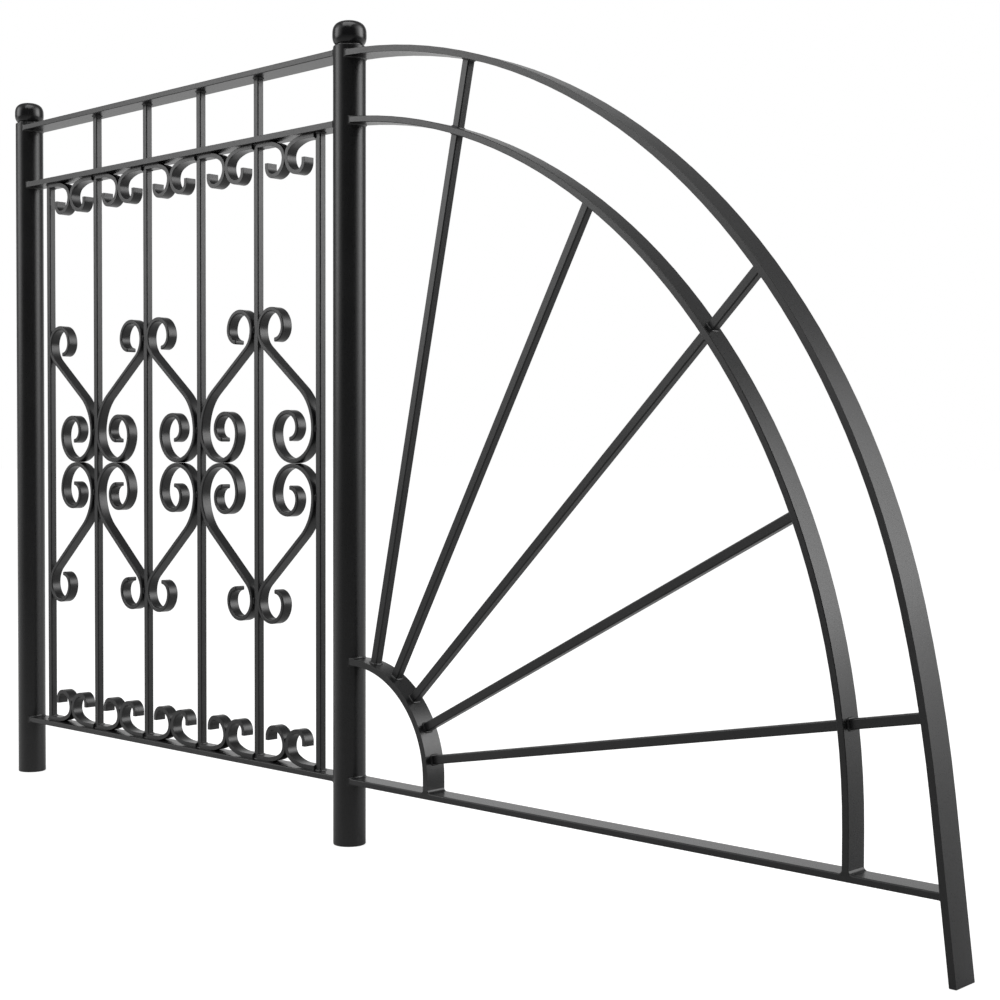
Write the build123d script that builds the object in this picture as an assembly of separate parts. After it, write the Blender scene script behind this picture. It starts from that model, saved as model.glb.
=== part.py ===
from build123d import *
import math
import os

os.makedirs("parts", exist_ok=True)

# Steel stair and terrace railing: a scroll panel between two round posts and a fan-shaped wing.
# Millimetres, +Z up. X runs along the railing, the front faces -Y.
# The origin is the middle of the right post's foot.

# Posts and ball caps
post_diameter = 42.4
post_wall = 4.0
post_rise = 5.0
post_foot_plate = 4.0
post_rim_round = 1.4
post_spacing = 765.0
cap_diameter = 44.4
cap_neck_diameter = 35.8
cap_height = 33.5
cap_waist_height = 15.5
cap_shoulder_radius = 14.0
cap_spigot_length = 22.0
cap_spigot_clearance = 0.15

# Flat bars of the frame
flat_thickness = 8.0
handrail_depth = 36.0
frame_depth = 30.0
handrail_top = 1026.5
second_rail_drop = 90.0
bottom_rail_height = 81.0
cope_gap = 0.1

# Square bars of the panel and spokes of the wing
bar_side = 10.0
spoke_side = 11.0
bar_corner = 1.5
bar_count = 6
left_bar_offset = 61.5
right_bar_offset = 57.0
hole_clearance = 0.1

# Scroll strip
strip_thickness = 6.0
strip_depth = 16.0
weld_gap = 0.15

# Small scrolls under the second rail and on the bottom rail
c_entry_radius = 60.0
c_entry_angle = 28.0
c_shoulder_radius = 17.0
c_belly_radius = 22.5
c_curl_radius = 13.0
c_curl_end = 5.5
c_weld_lap = 0.4

# Long scrolls of the middle band
middle_drop = 14.0
s_big_radii = (42.5, 38.0, 27.5, 20.5, 15.5)
s_small_radii = (26.0, 24.5, 17.0)
s_big_bend = 68.0
s_small_bend = 33.0
s_upper_reach = 136.5
s_lower_reach = 143.5

# Fan wing
wing_outer_radius = 880.5
wing_outer_inset = 27.0
wing_outer_drop = 2.0
wing_bend_radius = 1500.0
wing_bend_start = 14.2
leg_lean = 7.0
wing_band = 70.0
wing_inner_inset = 49.0
wing_inner_crown = 4.5
hub_radius = 139.5
hub_rise = 15.0
spoke_first_angle = 10.3
spoke_step = 16.8
spoke_count = 5

post_radius = post_diameter / 2
post_height = handrail_top + post_rise
second_rail_top = handrail_top - second_rail_drop
second_rail_underside = second_rail_top - flat_thickness
handrail_underside = handrail_top - flat_thickness
bottom_rail_top = bottom_rail_height + flat_thickness
middle_height = (bottom_rail_top + second_rail_underside) / 2 - middle_drop
left_post_x = -post_spacing
first_bar_x = left_post_x + left_bar_offset
bay_count = bar_count - 1
bar_pitch = (post_spacing - left_bar_offset - right_bar_offset) / bay_count

# Middles of the wing's arcs, and of the fan, which lies at the post's face
wing_outer_middle = (-wing_outer_inset, handrail_top - wing_outer_drop - wing_outer_radius)
wing_inner_radius = wing_outer_radius - wing_band
wing_inner_middle = (-wing_inner_inset, second_rail_top + wing_inner_crown - wing_inner_radius)
hub_middle = (post_radius, bottom_rail_top + hub_rise)


def point(centre, radius, degrees):
    a = math.radians(degrees)
    return (centre[0] + radius * math.cos(a), centre[1] + radius * math.sin(a))


def front_solid(profile, depth):
    """Raise a face drawn as (x, z) into a solid that is centred on the frame plane."""
    return extrude(Plane.XZ * profile, amount=depth / 2, both=True)


class Strip:
    """A flat strip bent along tangent lines and arcs in the (x, z) plane."""

    def __init__(self, start, heading):
        self.place = start
        self.heading = heading
        self.steps = []

    def line(self, length):
        if length > 1e-6:
            self.steps.append(("line", self.place, self.heading, length, 0))
            self.place = point(self.place, length, self.heading)
        return self

    def arc(self, radius, turn):
        """Turn left by positive degrees, right by negative degrees."""
        side = 90 if turn > 0 else -90
        self.steps.append(("arc", self.place, self.heading, radius, turn))
        centre = point(self.place, radius, self.heading + side)
        self.place = point(centre, radius, self.heading - side + turn)
        self.heading += turn
        return self

    def edge(self, offset):
        """Edges of the strip's side that lies offset to the left of its middle line."""
        edges = []
        for kind, place, heading, size, turn in self.steps:
            start = point(place, offset, heading + 90)
            if kind == "line":
                edges.append(Line(start, point(start, size, heading)))
            else:
                side = 90 if turn > 0 else -90
                centre = point(place, size, heading + side)
                radius = size - offset if turn > 0 else size + offset
                middle = point(centre, radius, heading - side + turn / 2)
                end = point(centre, radius, heading - side + turn)
                edges.append(ThreePointArc(start, middle, end))
        return edges


def strip_face(paths, thickness):
    """Face along one path, or along two that leave the same place in opposite directions."""
    edges = []
    for path in paths:
        left = path.edge(thickness / 2)
        right = path.edge(-thickness / 2)
        edges += left + right + [Line(left[-1] @ 1, right[-1] @ 1)]
        if len(paths) == 1:
            edges.append(Line(left[0] @ 0, right[0] @ 0))
    return make_face(edges)


def flat_bar(x_start, x_end, z_low, depth):
    """A level flat bar between two places along the railing."""
    middle = ((x_start + x_end) / 2, 0, z_low + flat_thickness / 2)
    return Pos(*middle) * Box(x_end - x_start, depth, flat_thickness)


def cope(solid, x):
    """Cut the end of a bar to the round of the post at x."""
    tool = Pos(x, 0, 0) * Cylinder(
        post_radius + cope_gap, post_height, align=(Align.CENTER, Align.CENTER, Align.MIN)
    )
    rest = solid - tool
    return rest.solids().sort_by(lambda s: s.volume)[-1]


def square_bar(side, length):
    """A square bar with soft corners, standing on the origin."""
    return extrude(RectangleRounded(side, side, bar_corner), amount=length)


def bar_hole(side, length):
    """Room for a square bar that passes through another piece."""
    wide = side + 2 * hole_clearance
    return Box(wide, wide, length)


def spoke_angle(index):
    return spoke_first_angle + index * spoke_step


def along_spoke(solid, degrees, distance):
    """Place a solid that points along +Z so that it points along a spoke."""
    x, z = point(hub_middle, distance, degrees)
    return Pos(x, 0, z) * Rot(0, 90 - degrees, 0) * solid


def save(solid, name):
    solid.label = name
    export_step(solid, "parts/" + name + ".step")


# Posts: round tube, closed at the foot, with a softened rim and foot edge
def make_post(x):
    body = Cylinder(post_radius, post_height, align=(Align.CENTER, Align.CENTER, Align.MIN))
    body = fillet(body.edges().filter_by(GeomType.CIRCLE), post_rim_round)
    bore = Pos(0, 0, post_foot_plate) * Cylinder(
        post_radius - post_wall, post_height, align=(Align.CENTER, Align.CENTER, Align.MIN)
    )
    return Pos(x, 0, 0) * (body - bore)


# Caps: a flattened ball on a spigot that plugs the tube
def make_cap(x):
    spigot_radius = post_radius - post_wall - cap_spigot_clearance
    waist = cap_diameter / 2
    neck = cap_neck_diameter / 2
    dome = cap_height - cap_waist_height
    barrel = (cap_waist_height**2 + (waist - neck) ** 2) / (2 * (waist - neck))
    lean = math.asin(cap_waist_height / barrel) / 2
    side = (waist - barrel + barrel * math.cos(lean), cap_waist_height - barrel * math.sin(lean))
    # The dome's arc meets the shoulder's arc in a common tangent
    inset = waist - cap_shoulder_radius
    spread = inset**2 + dome**2 - cap_shoulder_radius**2
    dome_radius = spread / (2 * (dome - cap_shoulder_radius))
    shoulder = (inset, cap_waist_height)
    slope = math.degrees(math.atan2(dome_radius - dome, inset))
    meet = point(shoulder, cap_shoulder_radius, slope)
    on_shoulder = point(shoulder, cap_shoulder_radius, slope / 2)
    on_dome = point((0, cap_height - dome_radius), dome_radius, (slope + 90) / 2)
    outline = [
        Line((0, -cap_spigot_length), (spigot_radius, -cap_spigot_length)),
        Line((spigot_radius, -cap_spigot_length), (spigot_radius, 0)),
        Line((spigot_radius, 0), (neck, 0)),
        ThreePointArc((neck, 0), side, (waist, cap_waist_height)),
        ThreePointArc((waist, cap_waist_height), on_shoulder, meet),
        ThreePointArc(meet, on_dome, (0, cap_height)),
        Line((0, cap_height), (0, -cap_spigot_length)),
    ]
    ball = revolve(Plane.XZ * make_face(outline), Axis.Z)
    return Pos(x, 0, post_height) * ball


save(make_post(left_post_x), "post_left")
save(make_post(0), "post_right")
save(make_cap(left_post_x), "cap_left")
save(make_cap(0), "cap_right")


# Rails of the panel, coped to both posts
def panel_rail(z_low, depth):
    rail = flat_bar(left_post_x, 0, z_low, depth)
    return cope(cope(rail, left_post_x), 0)


save(panel_rail(handrail_underside, handrail_depth), "handrail")

second_rail = panel_rail(second_rail_underside, frame_depth)
for index in range(1, bar_count - 1):
    x = first_bar_x + index * bar_pitch
    second_rail -= Pos(x, 0, second_rail_top) * bar_hole(bar_side, 4 * flat_thickness)
save(second_rail, "second_rail")
save(panel_rail(bottom_rail_height, frame_depth), "bottom_rail")

# Upright bars: the end ones stop under the second rail, the others pass through it
for index in range(bar_count):
    x = first_bar_x + index * bar_pitch
    is_end = index in (0, bar_count - 1)
    top = second_rail_underside if is_end else handrail_underside
    bar = Pos(x, 0, bottom_rail_top) * square_bar(bar_side, top - bottom_rail_top)
    save(bar, f"bar_{index + 1}")


# Small scrolls: a pair per bay that lies on a rail, meets in mid-bay and curls back
def small_scroll(bar_face_x, middle_x, seat_z, down):
    """Path from the bar's face along the rail; down is -1 under a rail and 1 on a rail."""
    half = strip_thickness / 2
    shoulder = math.radians(c_entry_angle)
    run = c_entry_radius * math.sin(shoulder) + c_shoulder_radius * (1 - math.sin(shoulder))
    toward = 1 if middle_x > bar_face_x else -1
    belly_x = middle_x + toward * (c_weld_lap / 2 - half)
    straight = abs(belly_x - bar_face_x) - run
    heading = 0 if toward > 0 else 180
    turn = toward * down
    path = Strip((bar_face_x, seat_z + down * half), heading)
    path.line(straight)
    path.arc(c_entry_radius, turn * c_entry_angle)
    path.arc(c_shoulder_radius, turn * (90 - c_entry_angle))
    path.arc(c_belly_radius, turn * 90)
    path.arc(c_curl_radius, turn * 90)
    path.line(c_curl_end)
    return front_solid(strip_face([path], strip_thickness), strip_depth)


def scroll_pair(bay, seat_z, down):
    left_face = first_bar_x + bay * bar_pitch + bar_side / 2
    right_face = left_face + bar_pitch - bar_side
    middle = (left_face + right_face) / 2
    pair = small_scroll(left_face, middle, seat_z, down) + small_scroll(
        right_face, middle, seat_z, down
    )
    return pair


for bay in range(bay_count):
    save(scroll_pair(bay, second_rail_underside, -1), f"top_scrolls_{bay + 1}")
    save(scroll_pair(bay, bottom_rail_top, 1), f"bottom_scrolls_{bay + 1}")


# Long scrolls: a big volute on one bar, a sweep, and a small volute on the next bar
def long_scroll(big_face_x, small_face_x, up):
    """up is 1 for the upper scroll and -1 for its lower mate."""
    half = strip_thickness / 2
    toward = 1 if small_face_x > big_face_x else -1
    reach = s_upper_reach if up > 0 else s_lower_reach
    big_x = big_face_x + toward * (half + weld_gap)
    small_x = small_face_x - toward * (half + weld_gap)
    big_z = middle_height + up * (half + weld_gap / 2 + s_big_radii[0])
    small_z = big_z + up * reach
    turn = toward * up

    # The sweep is the inner common tangent of the two bends
    bends = s_big_bend + s_small_bend
    run = abs(small_x - big_x) - bends
    sweep = math.sqrt(run**2 + reach**2 - bends**2)
    bend = math.degrees(math.atan2(run, reach) + math.atan2(bends, sweep))

    volute = Strip((big_x, big_z), -90 * up)
    for radius in s_big_radii:
        volute.arc(radius, turn * 90)
    rest = Strip((big_x, big_z), 90 * up)
    rest.arc(s_big_bend, -turn * bend)
    rest.line(sweep)
    rest.arc(s_small_bend, turn * bend)
    for radius in s_small_radii:
        rest.arc(radius, turn * 90)
    return front_solid(strip_face([volute, rest], strip_thickness), strip_depth)


for bay in range(bay_count):
    left_face = first_bar_x + bay * bar_pitch + bar_side / 2
    right_face = left_face + bar_pitch - bar_side
    small_left = bay % 2 == 0
    big_face = right_face if small_left else left_face
    small_face = left_face if small_left else right_face
    save(long_scroll(big_face, small_face, 1), f"upper_scroll_{bay + 1}")
    save(long_scroll(big_face, small_face, -1), f"lower_scroll_{bay + 1}")


# Fan wing: the outer arc runs on as a leaning leg that stands on the ground
def start_on_circle(centre, radius):
    """Path on a circle's top, from above the right post's middle, heading outward."""
    lean = math.degrees(math.asin(-centre[0] / radius))
    return Strip(point(centre, radius, 90 - lean), -lean)


outer_centreline = wing_outer_radius - flat_thickness / 2
outer_path = start_on_circle(wing_outer_middle, outer_centreline)
outer_path.arc(outer_centreline, wing_bend_start - 90 - outer_path.heading)
outer_path.arc(wing_bend_radius, leg_lean - wing_bend_start)
leg_top = outer_path.place
outer_path.line(leg_top[1] / math.cos(math.radians(leg_lean)) + flat_thickness)

inner_centreline = wing_inner_radius - flat_thickness / 2
inner_path = start_on_circle(wing_inner_middle, inner_centreline)
inner_path.arc(inner_centreline, -90 - inner_path.heading)
inner_path.line(wing_inner_middle[1] - bottom_rail_top)

hub_centreline = hub_radius - flat_thickness / 2
hub_path = Strip((0, hub_middle[1] + hub_centreline), 0)
hub_path.line(hub_middle[0])
hub_path.arc(hub_centreline, -90)
hub_path.line(hub_rise)


def bent_bar(path, depth):
    return front_solid(strip_face([path], flat_thickness), depth)


def room_for(path):
    """The bar's space with its weld gap, to trim what butts against it."""
    return front_solid(strip_face([path], flat_thickness + 2 * weld_gap), 2 * handrail_depth)


def stand_on(solid, z):
    """Cut a bar's foot level at height z."""
    return split(solid, bisect_by=Plane.XY.offset(z), keep=Keep.TOP)


outer_arc = stand_on(bent_bar(outer_path, handrail_depth), 0)
save(cope(outer_arc, 0), "wing_outer_arc")

inner_arc = cope(stand_on(bent_bar(inner_path, frame_depth), bottom_rail_top), 0)
inner_room = room_for(inner_path)
outer_room = room_for(outer_path)

# Spokes: every second one ends under the inner arc, the others pass through it
spoke_start = hub_radius + weld_gap
for index in range(spoke_count):
    degrees = spoke_angle(index)
    passes = index % 2 == 0
    bar = along_spoke(square_bar(spoke_side, wing_outer_radius), degrees, spoke_start)
    rest = bar - (outer_room if passes else inner_room)
    near = Vector(hub_middle[0], 0, hub_middle[1])
    bar = rest.solids().sort_by(lambda s: (s.center() - near).length)[0]
    if passes:
        hole = bar_hole(spoke_side, 2 * wing_outer_radius)
        inner_arc -= along_spoke(hole, degrees, wing_outer_radius)
    save(bar, f"spoke_{index + 1}")

save(inner_arc, "wing_inner_arc")
save(cope(bent_bar(hub_path, frame_depth), 0), "wing_hub_arc")


def leg_inner_x(z):
    """Where the inner face of the leg is at height z."""
    lean = math.radians(leg_lean)
    return leg_top[0] + (leg_top[1] - z) * math.tan(lean) - flat_thickness / 2 / math.cos(lean)


fan_rail = Polyline(
    (0, bottom_rail_height),
    (leg_inner_x(bottom_rail_height), bottom_rail_height),
    (leg_inner_x(bottom_rail_top), bottom_rail_top),
    (0, bottom_rail_top),
    close=True,
)
save(cope(front_solid(make_face(fan_rail), frame_depth), 0), "wing_rail")
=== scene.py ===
import math

import bmesh
import bpy
from mathutils import Matrix, Vector
from mathutils.bvhtree import BVHTree


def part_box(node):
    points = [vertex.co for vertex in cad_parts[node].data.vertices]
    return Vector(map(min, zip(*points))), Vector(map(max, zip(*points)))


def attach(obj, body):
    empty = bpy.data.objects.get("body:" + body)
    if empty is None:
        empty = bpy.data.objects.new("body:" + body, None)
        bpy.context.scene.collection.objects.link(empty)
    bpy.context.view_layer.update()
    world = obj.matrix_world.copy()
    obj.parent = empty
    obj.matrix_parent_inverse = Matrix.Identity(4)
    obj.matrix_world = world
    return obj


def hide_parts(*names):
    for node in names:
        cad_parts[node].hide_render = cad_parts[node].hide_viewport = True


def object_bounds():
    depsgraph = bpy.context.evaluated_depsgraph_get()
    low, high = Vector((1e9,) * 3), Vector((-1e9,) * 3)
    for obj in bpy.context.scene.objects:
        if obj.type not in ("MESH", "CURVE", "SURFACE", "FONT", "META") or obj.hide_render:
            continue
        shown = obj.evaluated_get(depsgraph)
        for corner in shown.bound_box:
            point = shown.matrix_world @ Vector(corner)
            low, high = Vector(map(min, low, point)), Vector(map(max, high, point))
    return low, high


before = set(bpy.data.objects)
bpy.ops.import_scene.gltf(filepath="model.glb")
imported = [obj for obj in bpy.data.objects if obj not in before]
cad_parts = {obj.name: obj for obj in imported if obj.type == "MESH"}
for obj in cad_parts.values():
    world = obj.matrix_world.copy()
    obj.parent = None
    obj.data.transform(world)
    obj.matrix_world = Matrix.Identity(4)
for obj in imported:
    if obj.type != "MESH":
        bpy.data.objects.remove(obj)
cad_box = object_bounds()

# Satin black powder coat: linear colours, and sizes in metres
coat_colour = (0.0062, 0.0063, 0.0067)
coat_light = (0.0095, 0.0096, 0.0101)
# Lighter colour for the edges: partly rubbed wear, partly a painted highlight along them
worn_and_highlit_colour = (0.03, 0.03, 0.0315)
coat_roughness = 0.31
cap_roughness = 0.21
weld_roughness = 0.34
coat_ior = 1.5
cloud_size = 0.06
grain_size = 0.0011
orange_peel_size = 0.0045
grain_height = 0.00005
orange_peel_height = 0.0001
grain_strength = 0.5
orange_peel_strength = 0.35
# How far the edges go towards that lighter colour, as wear plus painted highlight
wear_and_highlight_share = 0.6

# Ranges of noise and of edge sharpness over which the coat changes; the edge range sets where the
# lighter edges fall, partly wear and partly a painted highlight
cloud_range = (0.35, 0.65)
grain_range = (0.3, 0.7)
wear_and_highlight_range = (0.53, 0.62)
smoother_grain = -0.05
rougher_grain = 0.07

# Soft edges of the rolled bars, in metres
edge_round = {
    "tube": 0.0006,
    "cap": 0.0005,
    "flat_bar": 0.0013,
    "square_bar": 0.0006,
    "strip": 0.0015,
}
edge_steps = 3
edge_angle = 40
flat_angle = 0.5
join_distance = 0.00001
sharp_angle = 45

# Welds, in metres: each bead's legs along its two faces, and how it is built up
bar_bead = 0.0016
rail_bead = 0.0022
tack_bead = 0.0017
tack_length = 0.009
tack_width_share = 0.85
bead_root = 0.0004
bead_steps = 5
bead_spacing = 0.002
bead_taper = ((0, 0.2), (0.12, 0.75), (0.3, 1), (0.7, 1), (0.88, 0.75), (1, 0.2))
corner_steps = 3
hole_room = 0.0009
bar_corner = 0.0015
strip_thickness = 0.006

# Ground corners under the arcs' feet, in metres
corner_fillet = 0.0042
corner_sink = 0.0035
corner_proud = 0.00004
fillet_steps = 6

# Where the lines that look for a weld's faces start, and how near an edge counts as on it, in metres
short_of_weld = 0.02
off_post = 0.01
past_cope = 0.003
over_arc = 0.1
tip_band = 0.00005

# Flattened balls of the caps, in metres, with heights from the top of the post
cap_height = 0.0325
cap_neck = 0.0179
cap_groove = 0.0015
cap_waist = 0.0145
cap_belly = 0.0172
cap_squareness = 2.8
cap_steps = 12
cap_sides = 72
crown_share = 0.1

# Camera: where it stands and looks, and its lens for a 36 mm sensor
camera_place = (1.69414, -1.50015, 0.50322)
camera_azimuth = 43.53
camera_pitch = 1.402
camera_roll = 0.12
camera_lens = 62.64
sensor_width = 36
camera_reach = 100

# Floor, with sizes in metres
floor_reach = 60
floor_gap = 0.0005
floor_colour = (0.5, 0.5, 0.5)
floor_glow = 0.82
sweep_share = 0.75
sweep_range = (-0.5, 1.5)

# Studio that gloss sees, as strengths and shares of them
room_strength = 0.04
side_wall_strength = 0.25
backdrop_strength = 1.0
panel_strength = 4.0
left_panel_share = 0.5
panel_foot_share = 0.17
panel_head_share = 0.2
sky_strength = 0.45

# Where it changes: by how far behind the railing a ray points, from -1 to 1, to its left, or up
wall_range = (0.0, 0.5)
backdrop_range = (0.75, 0.95)
panel_near_range = (-0.7, -0.05)
panel_far_range = (0.05, 0.42)
panel_side_range = (-0.2, 0.2)
panel_foot_range = (-0.05, 0.13)
panel_head_range = (0.5, 0.75)

# Lamps: place, what they aim at, width and power in watts
softboxes = {
    "left_softbox": ((-2.4, -2.3, 1.7), (0, 0, 0.6), 1.8, 14),
    "right_softbox": ((2.4, 2.3, 1.7), (0, 0, 0.6), 1.8, 16),
    "top_softbox": ((0.4, -0.8, 3.4), (0, 0, 0.5), 2.4, 45),
}


# Shader helpers
def nodes_of(material):
    material.use_nodes = True
    tree = material.node_tree
    tree.nodes.clear()
    return tree


def add(tree, kind, **values):
    node = tree.nodes.new(kind)
    for name, value in values.items():
        setattr(node, name, value)
    return node


def noise_at(tree, place, size, detail):
    """Noise whose blotches are about size metres across."""
    texture = add(tree, "ShaderNodeTexNoise")
    texture.inputs["Scale"].default_value = 1 / size
    texture.inputs["Detail"].default_value = detail
    tree.links.new(place, texture.inputs["Vector"])
    return texture.outputs["Fac"]


def spread(tree, source, limits, out_low, out_high):
    """A value that goes from one level to another while its source crosses a range."""
    node = add(tree, "ShaderNodeMapRange")
    node.inputs["From Min"].default_value, node.inputs["From Max"].default_value = limits
    node.inputs["To Min"].default_value = out_low
    node.inputs["To Max"].default_value = out_high
    tree.links.new(source, node.inputs["Value"])
    return node.outputs["Result"]


def blend_colour(tree, factor, first, second):
    node = add(tree, "ShaderNodeMix", data_type="RGBA")
    tree.links.new(factor, node.inputs["Factor"])
    for socket, value in ((node.inputs[6], first), (node.inputs[7], second)):
        if isinstance(value, tuple):
            socket.default_value = (*value, 1)
        else:
            tree.links.new(value, socket)
    return node.outputs[2]


def bump(tree, height, strength, distance, normal=None):
    node = add(tree, "ShaderNodeBump")
    node.inputs["Strength"].default_value = strength
    node.inputs["Distance"].default_value = distance
    tree.links.new(height, node.inputs["Height"])
    if normal:
        tree.links.new(normal, node.inputs["Normal"])
    return node.outputs["Normal"]


def math_node(tree, operation, first, second):
    node = add(tree, "ShaderNodeMath", operation=operation)
    for socket, value in zip(node.inputs, (first, second)):
        if isinstance(value, (int, float)):
            socket.default_value = value
        else:
            tree.links.new(value, socket)
    return node.outputs[0]


def product(tree, *values):
    result = values[0]
    for value in values[1:]:
        result = math_node(tree, "MULTIPLY", result, value)
    return result


def toward(tree, place, azimuth):
    """How far a place or direction lies along the level line that points away at an azimuth."""
    node = add(tree, "ShaderNodeVectorMath", operation="DOT_PRODUCT")
    tree.links.new(place, node.inputs[0])
    turn = math.radians(azimuth)
    node.inputs[1].default_value = (-math.sin(turn), math.cos(turn), 0)
    return node.outputs["Value"]


def kinds_of_ray(tree):
    """Whether a ray comes from the eye, and whether it comes off gloss or through glass."""
    path = add(tree, "ShaderNodeLightPath")
    mirrored, passed = path.outputs["Is Glossy Ray"], path.outputs["Is Transmission Ray"]
    return path.outputs["Is Camera Ray"], math_node(tree, "MAXIMUM", mirrored, passed)


def shown(tree, seen_in_gloss, seen_by_eye):
    """Strength for rays that the eye, gloss or glass sees, and 0 for rays that only carry light."""
    eye, gloss = kinds_of_ray(tree)
    in_gloss = product(tree, gloss, seen_in_gloss)
    return math_node(tree, "MAXIMUM", in_gloss, product(tree, eye, seen_by_eye))


# Finish
def powder_coat(name, roughness):
    """Black powder coat: cloudy tone, fine grain, orange peel, and edges painted a little lighter,
    partly as rubbed wear and partly as a painted edge highlight.
    """
    material = bpy.data.materials.new(name)
    tree = nodes_of(material)
    out = add(tree, "ShaderNodeOutputMaterial")
    shader = add(tree, "ShaderNodeBsdfPrincipled")
    tree.links.new(shader.outputs["BSDF"], out.inputs["Surface"])
    place = add(tree, "ShaderNodeTexCoord").outputs["Object"]

    clouds = noise_at(tree, place, cloud_size, 3)
    grain = noise_at(tree, place, grain_size, 2)
    peel = noise_at(tree, place, orange_peel_size, 2)
    edge = add(tree, "ShaderNodeNewGeometry").outputs["Pointiness"]

    tone = spread(tree, clouds, cloud_range, 0, 1)
    colour = blend_colour(tree, tone, coat_colour, coat_light)
    # Edges painted lighter by pointiness: partly wear, partly a painted highlight on the edges
    wear_and_highlight = spread(tree, edge, wear_and_highlight_range, 0, wear_and_highlight_share)
    colour = blend_colour(tree, wear_and_highlight, colour, worn_and_highlit_colour)
    tree.links.new(colour, shader.inputs["Base Color"])

    smoothest, roughest = roughness + smoother_grain, roughness + rougher_grain
    rough = spread(tree, grain, grain_range, smoothest, roughest)
    tree.links.new(rough, shader.inputs["Roughness"])
    shader.inputs["IOR"].default_value = coat_ior

    peeled = bump(tree, peel, orange_peel_strength, orange_peel_height)
    grainy = bump(tree, grain, grain_strength, grain_height, peeled)
    tree.links.new(grainy, shader.inputs["Normal"])
    return material


coats = {}
for slot in edge_round:
    roughness = cap_roughness if slot == "cap" else coat_roughness
    coats[slot] = powder_coat("coat_" + slot, roughness)
weld_coat = powder_coat("coat_weld", weld_roughness)


def slot_of(node):
    starts = {"post": "tube", "cap": "cap", "bar": "square_bar", "spoke": "square_bar"}
    for start, slot in starts.items():
        if node.startswith(start):
            return slot
    return "strip" if "scroll" in node else "flat_bar"


def soften(piece, width):
    """Close the mesh, merge its flat faces, round its edges and even out its shading."""
    close = piece.modifiers.new("close", "WELD")
    close.merge_threshold = join_distance
    merge = piece.modifiers.new("merge_flats", "DECIMATE")
    merge.decimate_type = "DISSOLVE"
    merge.angle_limit = math.radians(flat_angle)
    bevel = piece.modifiers.new("soft_edges", "BEVEL")
    bevel.width = width
    bevel.segments = edge_steps
    bevel.limit_method = "ANGLE"
    bevel.angle_limit = math.radians(edge_angle)
    even = piece.modifiers.new("even_shading", "WEIGHTED_NORMAL")
    even.keep_sharp = False


for name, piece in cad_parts.items():
    slot = slot_of(name)
    for material_slot in piece.material_slots:
        material_slot.material = coats[slot]
    soften(piece, edge_round[slot])


# Reading the solids
along_depth = Vector((0, 1, 0))
surfaces = {}


def numbered(kind):
    """The nodes named by a kind and a number, in order."""
    return sorted(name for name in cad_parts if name.startswith(kind + "_"))


def middle_of(node):
    low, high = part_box(node)
    return (low + high) / 2


def half_size(node):
    low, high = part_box(node)
    return (high - low) / 2


def surface_of(node):
    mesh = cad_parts[node].data
    places = [vertex.co for vertex in mesh.vertices]
    return BVHTree.FromPolygons(places, [face.vertices for face in mesh.polygons])


def touch(node, place, heading):
    """Where a line from a place first meets a node, and the surface's direction there."""
    if node not in surfaces:
        surfaces[node] = surface_of(node)
    hit, normal, _, _ = surfaces[node].ray_cast(place, heading)
    if normal.dot(heading) > 0:
        normal = -normal
    return hit, normal


# Building meshes
def loft(shape, sections, closed):
    """Skin over sections of the same size, as a ring or as a run with two ends."""
    size = len(sections[0])
    rows = []
    for section in sections:
        start = len(shape["places"])
        shape["places"] += section
        rows.append(range(start, start + size))
    pairs = list(zip(rows, rows[1:]))
    if closed:
        pairs.append((rows[-1], rows[0]))
    else:
        shape["faces"] += [tuple(rows[0]), tuple(rows[-1])]
    for row, next_row in pairs:
        for this in range(size):
            after = (this + 1) % size
            shape["faces"].append((row[this], row[after], next_row[after], next_row[this]))


def new_shape():
    return {"places": [], "faces": []}


def make_piece(name, shape, material):
    mesh = bpy.data.meshes.new(name)
    mesh.from_pydata(shape["places"], [], shape["faces"])
    grid = bmesh.new()
    grid.from_mesh(mesh)
    bmesh.ops.recalc_face_normals(grid, faces=grid.faces)
    for face in grid.faces:
        face.smooth = True
    grid.to_mesh(mesh)
    grid.free()
    mesh.set_sharp_from_angle(angle=math.radians(sharp_angle))
    mesh.materials.append(material)
    piece = bpy.data.objects.new(name, mesh)
    bpy.context.scene.collection.objects.link(piece)
    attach(piece, "root")
    return piece


# Caps
def cap_outline(radius):
    """Half outline of a cap from its neck up to its crown, as radius and height."""
    outline = [(cap_neck, 0), (cap_neck, cap_groove)]
    for step in range(cap_steps):
        drop = (cap_waist - cap_groove) * (1 - step / cap_steps)
        share = (1 - (drop / cap_belly) ** cap_squareness) ** (1 / cap_squareness)
        outline.append((radius * share, cap_waist - drop))
    for step in range(cap_steps):
        turn = math.pi / 2 * step / cap_steps
        width = radius * math.cos(turn) ** (2 / cap_squareness)
        rise = (cap_height - cap_waist) * math.sin(turn) ** (2 / cap_squareness)
        outline.append((width, cap_waist + rise))
    outline.append((crown_share * cap_neck, cap_height))
    return outline


def turned_cap(post, cap):
    """A cap turned round its post's middle line, as wide as the solid one."""
    shape = new_shape()
    foot = middle_of(post)
    foot.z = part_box(post)[1].z
    rings = []
    for width, height in cap_outline(half_size(cap).x):
        ring = []
        for side in range(cap_sides):
            turn = 2 * math.pi * side / cap_sides
            ring.append(foot + Vector((width * math.cos(turn), width * math.sin(turn), height)))
        rings.append(ring)
    loft(shape, rings, False)
    return shape


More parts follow.
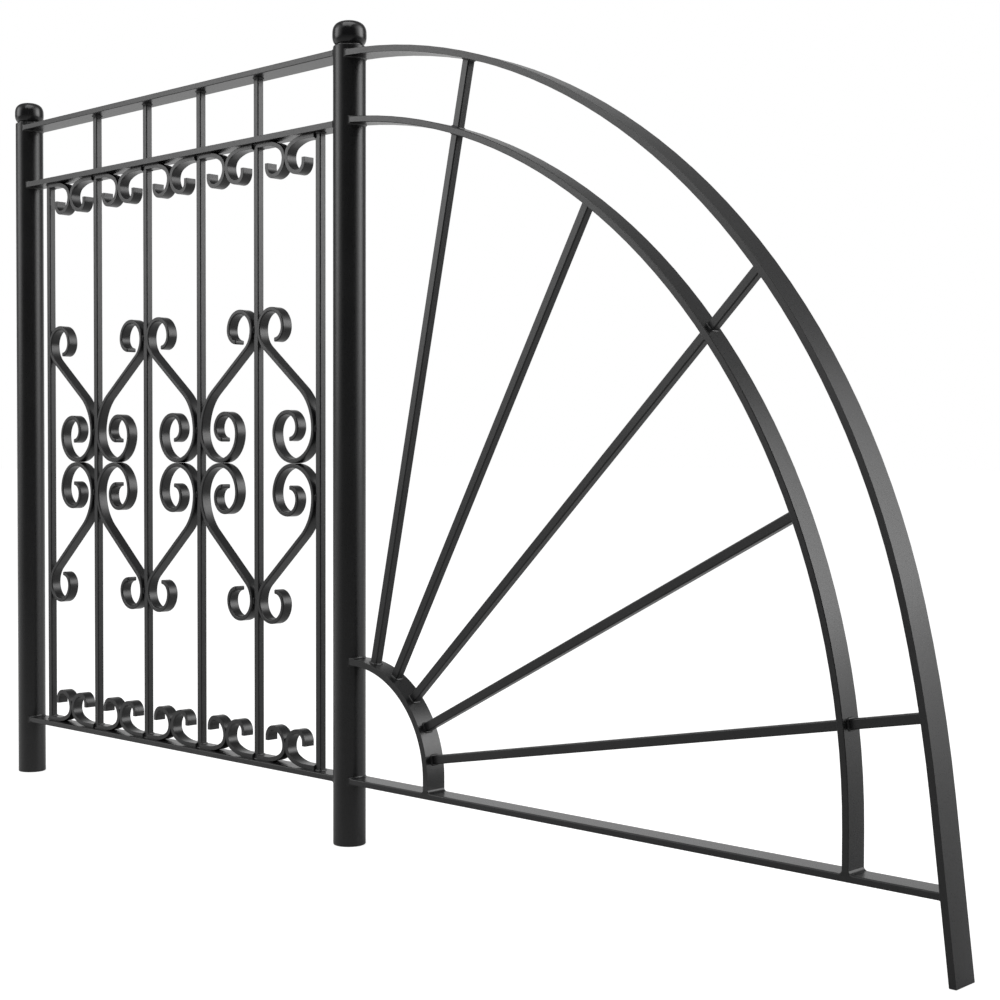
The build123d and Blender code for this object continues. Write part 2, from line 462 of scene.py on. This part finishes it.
# Weld beads
def section_outline(half_width, half_depth, corner):
    """Places round a bar's section, each with its outward direction."""
    corners = []
    for quarter in range(4):
        across = (half_width - corner) * (1 if quarter in (0, 3) else -1)
        along = (half_depth - corner) * (1 if quarter < 2 else -1)
        for step in range(corner_steps + 1):
            turn = math.pi / 2 * (quarter + step / corner_steps)
            out = Vector((math.cos(turn), math.sin(turn)))
            corners.append((Vector((across, along)) + corner * out, out))
    outline = []
    for (place, out), (next_place, _) in zip(corners, corners[1:] + corners[:1]):
        parts = max(1, round((next_place - place).length / bead_spacing))
        outline += [(place.lerp(next_place, part / parts), out) for part in range(parts)]
    return outline


def bead_section(corner, up, out, leg, full):
    """A bead's outline, from the bar to the plate and back under both: full and round, or hollow."""
    points = [corner - bead_root * (up + out)]
    for step in range(bead_steps + 1):
        turn = math.pi / 2 * step / bead_steps
        rise, reach = math.cos(turn), math.sin(turn)
        if not full:
            rise, reach = 1 - reach, 1 - rise
        points.append(corner + leg * (rise * up + reach * out))
    return points


def bead_round(shape, node, place, heading, half_width, half_depth, leg, corner=0):
    """A bead round a bar whose middle line runs from place along heading into a node.

    Round-cornered bars get a full bead, and sharp flat bars a hollow one.
    """
    across = heading.cross(along_depth)
    sections = []
    for spot, out in section_outline(half_width, half_depth, corner):
        outward = across * out.x + along_depth * out.y
        shifted = place + across * spot.x + along_depth * spot.y + hole_room * outward
        hit, normal = touch(node, shifted, heading)
        tangent = (outward - outward.dot(normal) * normal).normalized()
        foot = hit - hole_room / tangent.dot(outward) * tangent
        sections.append(bead_section(foot, -heading, tangent, leg, corner > 0))
    loft(shape, sections, True)


def square_bead(shape, node, place, heading, half):
    bead_round(shape, node, place, heading, half, half, bar_bead, bar_corner)


def bead_along(shape, start, end, up, out):
    """A short bead with tapered ends along a corner between two faces."""
    sections = []
    for share, fullness in bead_taper:
        sections.append(bead_section(start.lerp(end, share), up, out, tack_bead * fullness, True))
    loft(shape, sections, False)


def panel_welds():
    """Beads at the bars' feet and heads and where they pass the second rail."""
    shape = new_shape()
    down = Vector((0, 0, -1))
    bars = numbered("bar")
    for bar in bars:
        place = middle_of(bar)
        square_bead(shape, "bottom_rail", place, down, half_size(bar).x)
        square_bead(shape, "second_rail", place, -down, half_size(bar).x)
        if bar in bars[1:-1]:
            height = (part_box(bar)[1].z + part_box("second_rail")[1].z) / 2
            above = Vector((place.x, 0, height))
            square_bead(shape, "second_rail", above, down, half_size(bar).x)
            square_bead(shape, "handrail", above, -down, half_size(bar).x)
    return shape


def rail_welds():
    """Beads where the rails and arcs meet the posts and the leg."""
    shape = new_shape()
    to_right = Vector((1, 0, 0))
    for rail in ("handrail", "second_rail", "bottom_rail"):
        half = half_size(rail)
        for post, heading in (("post_left", -to_right), ("post_right", to_right)):
            bead_round(shape, post, middle_of(rail), heading, half.z, half.y, rail_bead)
    half = half_size("wing_rail")
    middle = middle_of("wing_rail")
    bead_round(shape, "post_right", middle, -to_right, half.z, half.y, rail_bead)
    near_leg = Vector((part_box("wing_rail")[1].x - short_of_weld, 0, middle.z))
    bead_round(shape, "wing_outer_arc", near_leg, to_right, half.z, half.y, rail_bead)
    post_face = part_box("post_right")[1].x
    for arc in ("wing_outer_arc", "wing_inner_arc", "wing_hub_arc"):
        above = Vector((post_face + past_cope, 0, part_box(arc)[1].z + over_arc))
        top, _ = touch(arc, above, Vector((0, 0, -1)))
        place = Vector((post_face + off_post, 0, top.z - half.z))
        depth = half_size(arc).y
        bead_round(shape, "post_right", place, -to_right, half.z, depth, rail_bead)
    return shape


def hub_middle():
    """Middle of the fan: the hub arc's round ends straight over the rail."""
    low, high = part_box("wing_hub_arc")
    post_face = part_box("post_right")[1].x
    return Vector((post_face, 0, high.z - (high.x - post_face)))


def spoke_welds():
    """Beads at the spokes' feet and ends, and on both sides of the inner arc where they pass it."""
    shape = new_shape()
    fan = hub_middle()
    spokes = numbered("spoke")
    half = half_size(spokes[0]).y
    for spoke in spokes:
        middle = middle_of(spoke)
        outward = (middle - fan).normalized()
        square_bead(shape, "wing_hub_arc", middle, -outward, half)
        square_bead(shape, "wing_inner_arc", middle, outward, half)
        if spoke in spokes[::2]:
            hit, _ = touch("wing_outer_arc", middle, outward)
            between = hit - short_of_weld * outward
            square_bead(shape, "wing_outer_arc", between, outward, half)
            square_bead(shape, "wing_inner_arc", between, -outward, half)
    return shape


def ground_corner(shape, left, right, top, half_depth):
    """Where a bar stands on a rail of its own depth: a corner filled and ground flush."""
    outline = []
    for side, face in ((-1, left), (1, right)):
        run = [Vector((face + side * corner_fillet, 0, top - corner_sink))]
        middle = Vector((face + side * corner_fillet, 0, top + corner_fillet))
        for step in range(fillet_steps + 1):
            turn = math.pi / 2 * step / fillet_steps
            run.append(middle - corner_fillet * Vector((side * math.sin(turn), 0, math.cos(turn))))
        outline += run if side < 0 else run[::-1]
    depth = (half_depth + corner_proud) * along_depth
    ends = [[place - depth for place in outline], [place + depth for place in outline]]
    loft(shape, ends, False)


def foot_welds():
    """Ground corners where the inner arc and the hub arc stand on the wing's rail."""
    shape = new_shape()
    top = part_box("wing_rail")[1].z
    thickness = 2 * half_size("wing_rail").z
    for arc in ("wing_inner_arc", "wing_hub_arc"):
        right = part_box(arc)[1].x
        ground_corner(shape, right - thickness, right, top, half_size(arc).y)
    return shape


def touching_height(scroll, edge):
    """Middle height of a long scroll's vertices at its left or right edge."""
    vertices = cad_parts[scroll].data.vertices
    heights = [v.co.z for v in vertices if abs(v.co.x - edge) < tip_band]
    return (min(heights) + max(heights)) / 2


def tack_to_bars(shape, scroll, bar_half):
    """Short upright beads, front and back, where a long scroll touches the bars beside it."""
    low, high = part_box(scroll)
    reach = Vector((0, 0, tack_length / 2))
    for side, edge in ((-1, low.x), (1, high.x)):
        height = touching_height(scroll, edge)
        out = Vector((side, 0, 0))
        for face in (-1, 1):
            corner = Vector((edge, face * bar_half, height))
            bead_along(shape, corner - reach, corner + reach, face * along_depth, out)


def tack_tails(shape, left, right, depth):
    """Beads across the small scrolls' tails, where they end at the bars of their bay."""
    half = tack_width_share * depth * along_depth
    rails = ((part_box("bottom_rail")[1].z, 1), (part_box("second_rail")[0].z, -1))
    for rail_face, away in rails:
        height = rail_face + away * strip_thickness
        for face, side in ((left, 1), (right, -1)):
            corner = Vector((face, 0, height))
            up, out = Vector((0, 0, away)), Vector((side, 0, 0))
            bead_along(shape, corner - half, corner + half, up, out)


def scroll_welds():
    """Tacks where the long scrolls touch the bars, and beads at the small scrolls' tails."""
    shape = new_shape()
    bars = numbered("bar")
    bar_half = half_size(bars[0]).x
    depth = half_size("upper_scroll_1").y
    for bay, (bar, next_bar) in enumerate(zip(bars, bars[1:]), start=1):
        for scroll in (f"upper_scroll_{bay}", f"lower_scroll_{bay}"):
            tack_to_bars(shape, scroll, bar_half)
        left = middle_of(bar).x + bar_half
        right = middle_of(next_bar).x - bar_half
        tack_tails(shape, left, right, depth)
    return shape


for side in ("left", "right"):
    cap = "cap_" + side
    ball = make_piece("ball_" + side, turned_cap("post_" + side, cap), coats["cap"])
    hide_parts(cap)
make_piece("welds_panel", panel_welds(), weld_coat)
make_piece("welds_rails", rail_welds(), weld_coat)
make_piece("welds_spokes", spoke_welds(), weld_coat)
make_piece("welds_scrolls", scroll_welds(), weld_coat)
feet = make_piece("welds_feet", foot_welds(), coats["flat_bar"])
soften(feet, edge_round["flat_bar"])


# Studio
def floor_finish():
    """White to the eye, a sweep that brightens towards the back in gloss, and shaded by lamps."""
    material = bpy.data.materials.new("pale_floor")
    tree = nodes_of(material)
    out = add(tree, "ShaderNodeOutputMaterial")
    matte = add(tree, "ShaderNodeBsdfDiffuse")
    matte.inputs["Color"].default_value = (*floor_colour, 1)
    glow = add(tree, "ShaderNodeEmission")
    place = add(tree, "ShaderNodeTexCoord").outputs["Object"]
    behind = toward(tree, place, camera_azimuth)
    sweep = spread(tree, behind, sweep_range, 0, sweep_share)
    strength = shown(tree, product(tree, sweep, floor_glow), floor_glow)
    tree.links.new(strength, glow.inputs["Strength"])
    both = add(tree, "ShaderNodeAddShader")
    tree.links.new(matte.outputs["BSDF"], both.inputs[0])
    tree.links.new(glow.outputs["Emission"], both.inputs[1])
    tree.links.new(both.outputs["Shader"], out.inputs["Surface"])
    return material


def make_floor():
    mesh = bpy.data.meshes.new("floor")
    signs = ((-1, -1), (1, -1), (1, 1), (-1, 1))
    corners = [(floor_reach * x, floor_reach * y, 0) for x, y in signs]
    mesh.from_pydata(corners, [], [(0, 1, 2, 3)])
    floor = bpy.data.objects.new("floor", mesh)
    bpy.context.scene.collection.objects.link(floor)
    floor.location.z = cad_box[0].z - floor_gap
    mesh.materials.append(floor_finish())


def studio_in_gloss(tree):
    """Brightness by direction: a white backdrop, a light panel on each side and a dim room."""
    place = add(tree, "ShaderNodeTexCoord").outputs["Generated"]
    behind = toward(tree, place, camera_azimuth)
    to_left = toward(tree, place, camera_azimuth + 90)
    height = add(tree, "ShaderNodeSeparateXYZ")
    tree.links.new(place, height.inputs[0])
    up = height.outputs["Z"]

    wall = spread(tree, behind, wall_range, room_strength, side_wall_strength)
    backdrop = spread(tree, behind, backdrop_range, 0, backdrop_strength)
    room = math_node(tree, "MAXIMUM", wall, backdrop)
    near_edge = spread(tree, behind, panel_near_range, 0, 1)
    far_edge = spread(tree, behind, panel_far_range, 1, 0)
    share = spread(tree, to_left, panel_side_range, 1, left_panel_share)
    foot = spread(tree, up, panel_foot_range, panel_foot_share, 1)
    head = spread(tree, up, panel_head_range, 1, panel_head_share)
    panel = product(tree, near_edge, far_edge, panel_strength, share, foot, head)
    return math_node(tree, "MAXIMUM", room, panel)


def make_world():
    """White to the eye, the studio in gloss, and an even light for everything else."""
    world = bpy.data.worlds.new("studio")
    bpy.context.scene.world = world
    tree = nodes_of(world)
    out = add(tree, "ShaderNodeOutputWorld")
    sky = add(tree, "ShaderNodeBackground")
    sky.inputs["Color"].default_value = (1, 1, 1, 1)
    seen = math_node(tree, "MAXIMUM", *kinds_of_ray(tree))
    light_only = math_node(tree, "SUBTRACT", 1, seen)
    light = product(tree, light_only, sky_strength)
    strength = math_node(tree, "ADD", shown(tree, studio_in_gloss(tree), 1), light)
    tree.links.new(strength, sky.inputs["Strength"])
    tree.links.new(sky.outputs[0], out.inputs["Surface"])


def make_softbox(name, place, target, width, power):
    light = bpy.data.lights.new(name, "AREA")
    light.shape = "SQUARE"
    light.size = width
    light.energy = power
    lamp = bpy.data.objects.new(name, light)
    bpy.context.scene.collection.objects.link(lamp)
    lamp.location = place
    aim = Vector(target) - Vector(place)
    lamp.rotation_euler = aim.to_track_quat("-Z", "Y").to_euler()


def make_camera():
    data = bpy.data.cameras.new("camera")
    data.sensor_width = sensor_width
    data.lens = camera_lens
    data.clip_end = camera_reach
    camera = bpy.data.objects.new("camera", data)
    bpy.context.scene.collection.objects.link(camera)
    azimuth, pitch, roll = map(math.radians, (camera_azimuth, camera_pitch, camera_roll))
    level = Vector((math.cos(azimuth), math.sin(azimuth), 0))
    ahead = Vector((-math.sin(azimuth), math.cos(azimuth), 0))
    look = math.cos(pitch) * ahead - math.sin(pitch) * Vector((0, 0, 1))
    right = math.cos(roll) * level + math.sin(roll) * level.cross(look)
    turn = Matrix((right, right.cross(look), -look)).transposed()
    camera.matrix_world = Matrix.Translation(camera_place) @ turn.to_4x4()
    bpy.context.scene.camera = camera


make_floor()
make_world()
for name, (place, target, width, power) in softboxes.items():
    make_softbox(name, place, target, width, power)
make_camera()
bpy.context.scene.view_settings.view_transform = "Standard"
